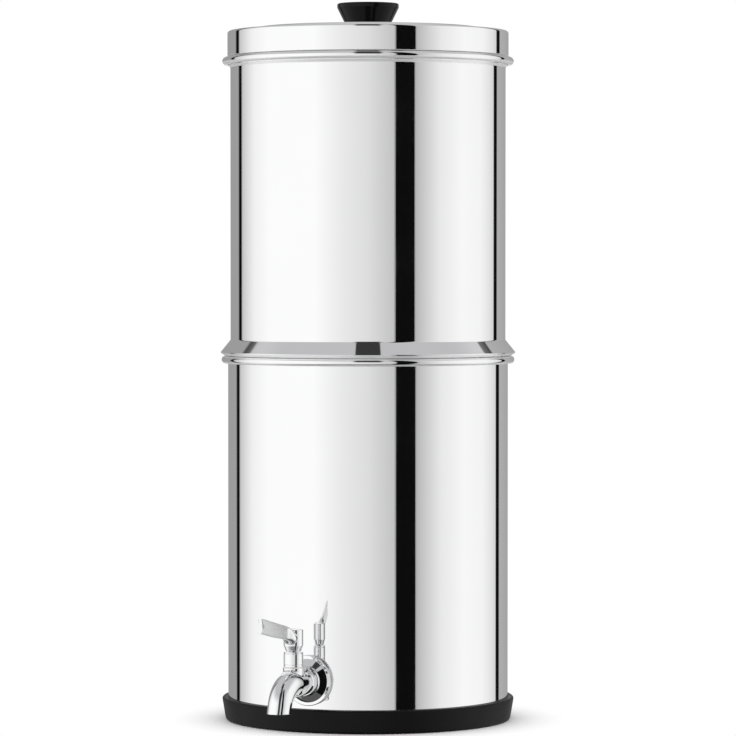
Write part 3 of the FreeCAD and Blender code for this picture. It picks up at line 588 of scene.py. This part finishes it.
bm = bmesh.new()
hub_corners = [
    (0, HUB_Z, 0),
    (5.4, HUB_Z, 0.3),
    (HUB_R, HUB_Z + 4.2, 1.2),
    (HUB_R, HUB_TOP_Z, 0.5),
    (RECESS_R, HUB_TOP_Z, 0.15),
    (RECESS_R, HUB_Z + 12.0, 0),
    (0, HUB_Z + 12.0, 0),
]
spin(bm, bent_path(hub_corners, support=0.15), SPINDLE_AXIS)
# out from the spindle, low and high edge above the hub's foot, half the width, squareness
arm = [
    (2.0, 4.4, 15.3, 5.5, 2.0),
    (6.0, 4.4, 15.4, 5.4, 2.0),
    (7.5, 5.2, 16.1, 5.3, 2.0),
    (9.0, 6.3, 17.2, 5.0, 2.1),
    (10.4, 7.4, 18.0, 4.3, 2.2),
    (11.5, 8.2, 18.5, 3.5, 2.4),
    (12.5, 8.8, 18.8, 2.7, 2.8),
    (13.6, 9.3, 19.1, 2.2, 3.6),
    (15.5, 9.7, 19.5, 2.05, 5.0),
    (20.0, 10.3, 20.4, 2.0, 6.0),
    (31.0, 12.1, 22.7, 1.9, 6.0),
    (42.0, 14.2, 25.1, 1.75, 6.0),
    (BLADE_OUT, 16.0, 27.0, 1.6, 6.0),
]
loops = [[Vector((0, SPINDLE_Y - 2.0, HUB_Z + 9.8))]]
for out, low, high, half, square in arm:
    loop = []
    for step in range(64):
        angle = 2 * math.pi * step / 64
        across = math.copysign(abs(math.cos(angle)) ** (2 / square), math.cos(angle))
        rise = math.copysign(abs(math.sin(angle)) ** (2 / square), math.sin(angle))
        spot = ((low + high) / 2) + rise * (high - low) / 2
        loop.append(Vector((half * across, SPINDLE_Y - out, HUB_Z + spot)))
    loops.append(loop)
blade_end = loops[-1]
for reach in (0.3, 0.6, 0.85, 0.96, 1.0):
    loop = []
    for spot in blade_end:
        share = (spot.z - HUB_Z - 21.5) / 5.5
        side = abs(share)
        end = TAIL_OUT + TAIL_DEPTH * (1 - (1 - min(1.0, side)) ** 1.4)
        end -= 0.35 * share + 0.3 * max(0, side - 0.8)
        slim = 1.0 if reach < 0.9 else 0.97 if reach < 1 else 0.82
        further = (end - BLADE_OUT) * reach
        rise = 0.1 * further
        loop.append(Vector((spot.x * slim, SPINDLE_Y - BLADE_OUT - further, spot.z + rise)))
    loops.append(loop)
skin(bm, loops)
new_piece("tap_lever_handle", bm, "tap_handle", LEVER_PLATE, ["tap_lever"], 40)

bm = bmesh.new()
cap_corners = [
    (0, HUB_Z + 12.3, 0),
    (RECESS_R - 0.05, HUB_Z + 12.3, 0),
    (RECESS_R - 0.05, HUB_TOP_Z - 0.2, 0.3),
    (3.4, HUB_TOP_Z, 2),
    (0, HUB_TOP_Z, 0),
]
spin(bm, bent_path(cap_corners, support=0.1), SPINDLE_AXIS)
new_piece("tap_lever_cap", bm, "tap_handle", CHROME, ["lever_cap"])
kept_node("lever_screw", PLAIN_STEEL)

# Upper chamber wall and floor
# The same polished sheet: a spigot that enters the lower chamber, a folded bead that rests on its
# rim, and a slightly widened mouth with a rolled rim. The floor has four holes.
UPPER_R = 101.65
SEAT_Z = 269.3
UPPER_RIM_Z = 486.5
SPIGOT_END_Z = SEAT_Z - 25.5
FOLD_OUT = 7.6
MOUTH_OUT = 1.2


def offset_corners(corners, shift):
    """The same path moved to its left by shift, with its bends kept on their centres."""
    steps = [(Vector(b[:2]) - Vector(a[:2])).normalized() for a, b in zip(corners[:-1], corners[1:])]
    moved = []
    for index, (r, z, bend) in enumerate(corners):
        before, after = steps[max(index - 1, 0)], steps[min(index, len(steps) - 1)]
        side = Vector((-before.y - after.y, before.x + after.x)) / (1 + before.dot(after))
        new_bend = bend - math.copysign(shift, before.cross(after)) if bend > 0 else 0
        moved.append((r + side.x * shift, z + side.y * shift, new_bend))
    return moved


bm = bmesh.new()
upper_corners = [
    (UPPER_R, SPIGOT_END_Z, 0),
    (UPPER_R, SEAT_Z, 1.0),
    (UPPER_R + 4.35, SEAT_Z, 1.0),
    (UPPER_R + FOLD_OUT, SEAT_Z + 2.3, 0.6),
    (UPPER_R, SEAT_Z + 11.7, 1.8),
    (UPPER_R, UPPER_RIM_Z - 5.2, 1.8),
    (UPPER_R + MOUTH_OUT, UPPER_RIM_Z - 2.8, 1.8),
    (UPPER_R + MOUTH_OUT, UPPER_RIM_Z - 0.2, 0),
]
inner_corners = offset_corners(upper_corners, SHEET)
outline = bent_path(upper_corners) + rolled_rim(UPPER_R + MOUTH_OUT - SHEET, UPPER_RIM_Z)
outline += list(reversed(bent_path(inner_corners)))
spin(bm, outline, segments=360)
new_piece("upper_chamber_wall", bm, "upper_chamber", STEEL, ["upper_wall"])
kept_node("upper_floor", STEEL)

# Filter candles
# Two blocks of pressed carbon, each glued between a moulded cap and a moulded base. A hollow
# threaded stem on the base goes through the floor, with a silicone washer and a wing nut.


def carbon(tree):
    """Pressed carbon grains: dull black with grey grains and open pores."""
    grains = tree.noise(900.0, 5.0, rough=0.65)
    patches = tree.noise(60.0, 3.0)
    pale = grains.step(0.5, 0.75)
    return {
        "Base Color": tree.blend(pale, (0.012, 0.012, 0.013, 1), (0.06, 0.06, 0.062, 1)),
        "Roughness": 0.72 + patches * 0.2,
        "Normal": tree.bump(grains, 0.0005, 0.6),
    }


def black_plastic(tree):
    """Black moulded plastic with a fine spark-eroded texture."""
    grain = tree.noise(1800.0, 3.0)
    tone = tree.noise(70.0, 3.0)
    return {
        "Base Color": tree.blend(tone, (0.014, 0.014, 0.015, 1), (0.03, 0.03, 0.031, 1)),
        "Roughness": 0.38 + grain * 0.2,
        "Normal": tree.bump(grain, 0.00008, 0.5),
    }


CARBON = new_material("pressed carbon", carbon)
BLACK_PLASTIC = new_material("black moulded plastic", black_plastic)
for side in ("left", "right"):
    kept_node(side + "_carbon_candle", CARBON)
    kept_node(side + "_candle_base", BLACK_PLASTIC, 0.0005)
    kept_node(side + "_candle_cap", BLACK_PLASTIC, 0.0005)
    kept_node(side + "_candle_gasket", SILICONE, 0.0004)
    kept_node(side + "_candle_wing_nut", BLACK_PLASTIC, 0.0006)

# Blanking plugs
# Moulded plugs with a washer and a nut, which close the two holes that hold no candle.
kept_node("blanking_plugs", BLACK_PLASTIC, 0.0005)
kept_node("plug_gaskets", SILICONE, 0.0004)
kept_node("plug_nuts", BLACK_PLASTIC, 0.0005)

# Lid
# Pressed from the same polished sheet: a raised panel, a rounded corner, a skirt that covers the
# upper rim's top, and a lip that enters the mouth.
LID_LOW_Z = 489.35
LID_TOP_Z = 508.55
PANEL_Z = 510.75
SKIRT_R = UPPER_R + 2.15
LIP_R = UPPER_R - SHEET - 0.45
PANEL_R = SKIRT_R - 15.8

bm = bmesh.new()
lid_corners = [
    (0, PANEL_Z, 0),
    (PANEL_R - 4, PANEL_Z, 3.0),
    (PANEL_R, LID_TOP_Z, 3.0),
    (SKIRT_R, LID_TOP_Z, 1.8),
    (SKIRT_R, LID_LOW_Z, 1.2),
    (LIP_R, LID_LOW_Z, 1.2),
    (LIP_R, LID_LOW_Z - 12, 0),
]
outline = bent_path(lid_corners) + list(reversed(bent_path(offset_corners(lid_corners, -SHEET))))
spin(bm, outline, segments=360)
new_piece("lid_pressing", bm, "lid", STEEL, ["lid_shell"])

# Lid knob
# Glossy black plastic, moulded round a threaded brass insert: an upside-down cone with a short
# upright rim. A pan head screw and a washer hold it from under the lid.


def knob_plastic(tree):
    """Glossy black plastic with faint swirl scratches."""
    scuffs = tree.noise(1.0, 2.0, tree.place((500.0, 60.0, 2600.0), (0.2, 0.5, 0.1))).step(0.66, 0.74)
    tone = tree.noise(120.0, 4.0)
    return {
        "Base Color": tree.blend(scuffs * 0.4, (0.0045, 0.0045, 0.005, 1), (0.03, 0.03, 0.03, 1)),
        "Roughness": 0.09 + tone * 0.08 + scuffs * 0.12,
        "Specular IOR Level": 0.16,
        "Normal": tree.bump(tone + scuffs * 0.2, 0.00002, 0.4),
    }


KNOB_PLASTIC = new_material("glossy black plastic", knob_plastic)
KNOB_R = 22.75
KNOB_FOOT_R = 15.3
KNOB_TOP_Z = PANEL_Z + 18.4
DISH_Z = KNOB_TOP_Z - 0.35

bm = bmesh.new()
knob_corners = [
    (0, PANEL_Z, 0),
    (KNOB_FOOT_R, PANEL_Z, 0.6),
    (KNOB_R, KNOB_TOP_Z - 3.2, 1.2),
    (KNOB_R, KNOB_TOP_Z, 1.2),
    (18.0, KNOB_TOP_Z, 0.4),
    (17.2, DISH_Z, 0.4),
    (0, DISH_Z, 0),
]
spin(bm, bent_path(knob_corners, support=0.3), segments=192)
new_piece("lid_knob_moulding", bm, "lid", KNOB_PLASTIC, ["lid_knob"])
kept_node("knob_insert", BRASS)
kept_node("knob_washer", PLAIN_STEEL, 0.0002)
kept_node("knob_screw", PLAIN_STEEL)

# Studio
# A white sweep with no horizon. The polished steel shows the studio round the camera: large white
# soft boxes with a black flag to the right of the camera and narrow flags well behind it.
CAMERA_TURN = math.radians(24.1)
CAMERA_DISTANCE = 3.0
CAMERA_HEIGHT = 0.339
CAMERA_DIP = math.radians(1.5105)
CAMERA_LENS = 198.3
to_camera = Vector((math.sin(CAMERA_TURN), -math.cos(CAMERA_TURN), 0))
to_right = Vector((math.cos(CAMERA_TURN), math.sin(CAMERA_TURN), 0))

BLACK = (0.004, 0.004, 0.004, 1)
WHITE = (1, 1, 1, 1)
# how bright the studio is at an angle from the camera, in degrees to its right
STUDIO = [
    (-180, 0.8),
    (-176, 0.8),
    (-173, 0.34),
    (-138.3, 0.37),
    (-137.5, 0.004),
    (-131.5, 0.004),
    (-130.5, 0.6),
    (-110, 0.97),
    (-90, 1.08),
    (-45, 1.08),
    (-20, 0.9),
    (0, 0.8),
    (15, 0.66),
    (22.2, 0.6),
    (22.8, 0.004),
    (38.9, 0.004),
    (39.5, 0.52),
    (50, 0.7),
    (62, 0.9),
    (85, 1.04),
    (108, 1.0),
    (122, 0.85),
    (129.8, 0.72),
    (130.6, 0.004),
    (136.8, 0.004),
    (137.6, 0.46),
    (173, 0.36),
    (176, 0.8),
    (180, 0.8),
]

world = bpy.data.worlds.new("studio")
world.use_nodes = True
bpy.context.scene.world = world
tree = Tree(world.node_tree)
gaze = tree.add("ShaderNodeTexCoord", out="Generated")
ahead, right, up = tree.dot(gaze, to_camera), tree.dot(gaze, to_right), tree.dot(gaze, (0, 0, 1))
turn = right.maths("ARCTAN2", right, ahead)
levels = [(angle / 360 + 0.5, level) for angle, level in STUDIO]
ramp = tree.add("ShaderNodeValToRGB", {"stops": levels}, {"Fac": turn * (0.5 / math.pi) + 0.5})
height = abs(up)
tall = tree.blend(height.step(0.45, 0.8), ramp, (0.56, 0.56, 0.57, 1))
below = tree.blend(up.step(-0.85, -0.6, 1.0, 0.0), tall, (0.1, 0.1, 0.1, 1))
flag = turn.step(0.396, 0.4) * turn.step(0.679, 0.683, 1.0, 0.0)
flag = flag * height.step(0.85, 0.9, 1.0, 0.0)
slot_edges = up.step(0.8, 0.9, 0.14, 0.1), up.step(0.8, 0.9, 0.2, 0.112)
slot = abs(right).step(*slot_edges, 1.0, 0.0) * up.step(0.2, 0.3) * ahead.step(0.0, 0.1)
seen = tree.blend(flag.maths("MAXIMUM", flag, slot * 0.93), below, BLACK)
colour = tree.blend(tree.add("ShaderNodeLightPath", out="Is Glossy Ray"), WHITE, seen)
light = tree.add("ShaderNodeBackground", sockets={"Color": colour, "Strength": 1.0})
tree.add("ShaderNodeOutputWorld", sockets={"Surface": light})


# the floor's middle is paper that takes the shadow, and it fades out to the white backdrop
floor_material = bpy.data.materials.new("white floor")
floor_material.use_nodes = True
tree = Tree(floor_material.node_tree)
paper = tree.add("ShaderNodeBsdfDiffuse", sockets={"Color": (0.97, 0.97, 0.97, 1)})
bright = tree.add("ShaderNodeEmission", sockets={"Color": WHITE, "Strength": 1.0})
spot = tree.add("ShaderNodeTexCoord", out="Object")
away = tree.add("ShaderNodeVectorMath", {"operation": "LENGTH"}, {0: spot}, out="Value")
mixed = tree.add("ShaderNodeMixShader", sockets={0: away.step(0.1, 0.15), 1: paper, 2: bright})
tree.add("ShaderNodeOutputMaterial", sockets={"Surface": mixed})

bm = bmesh.new()
bmesh.ops.create_circle(bm, cap_ends=True, segments=96, radius=3000)
floor_mesh = finish_mesh("white_floor", bm)
floor_mesh.materials.append(floor_material)
floor = bpy.data.objects.new("white_floor", floor_mesh)
bpy.context.scene.collection.objects.link(floor)
floor.visible_glossy = False

lens = bpy.data.cameras.new("camera")
lens.sensor_width = 36
lens.lens = CAMERA_LENS
camera = bpy.data.objects.new("camera", lens)
bpy.context.scene.collection.objects.link(camera)
camera.location = to_camera * CAMERA_DISTANCE + Vector((0, 0, CAMERA_HEIGHT))
camera.rotation_euler = (math.radians(90) - CAMERA_DIP, 0, CAMERA_TURN)
bpy.context.scene.camera = camera
bpy.context.scene.view_settings.view_transform = "Standard"
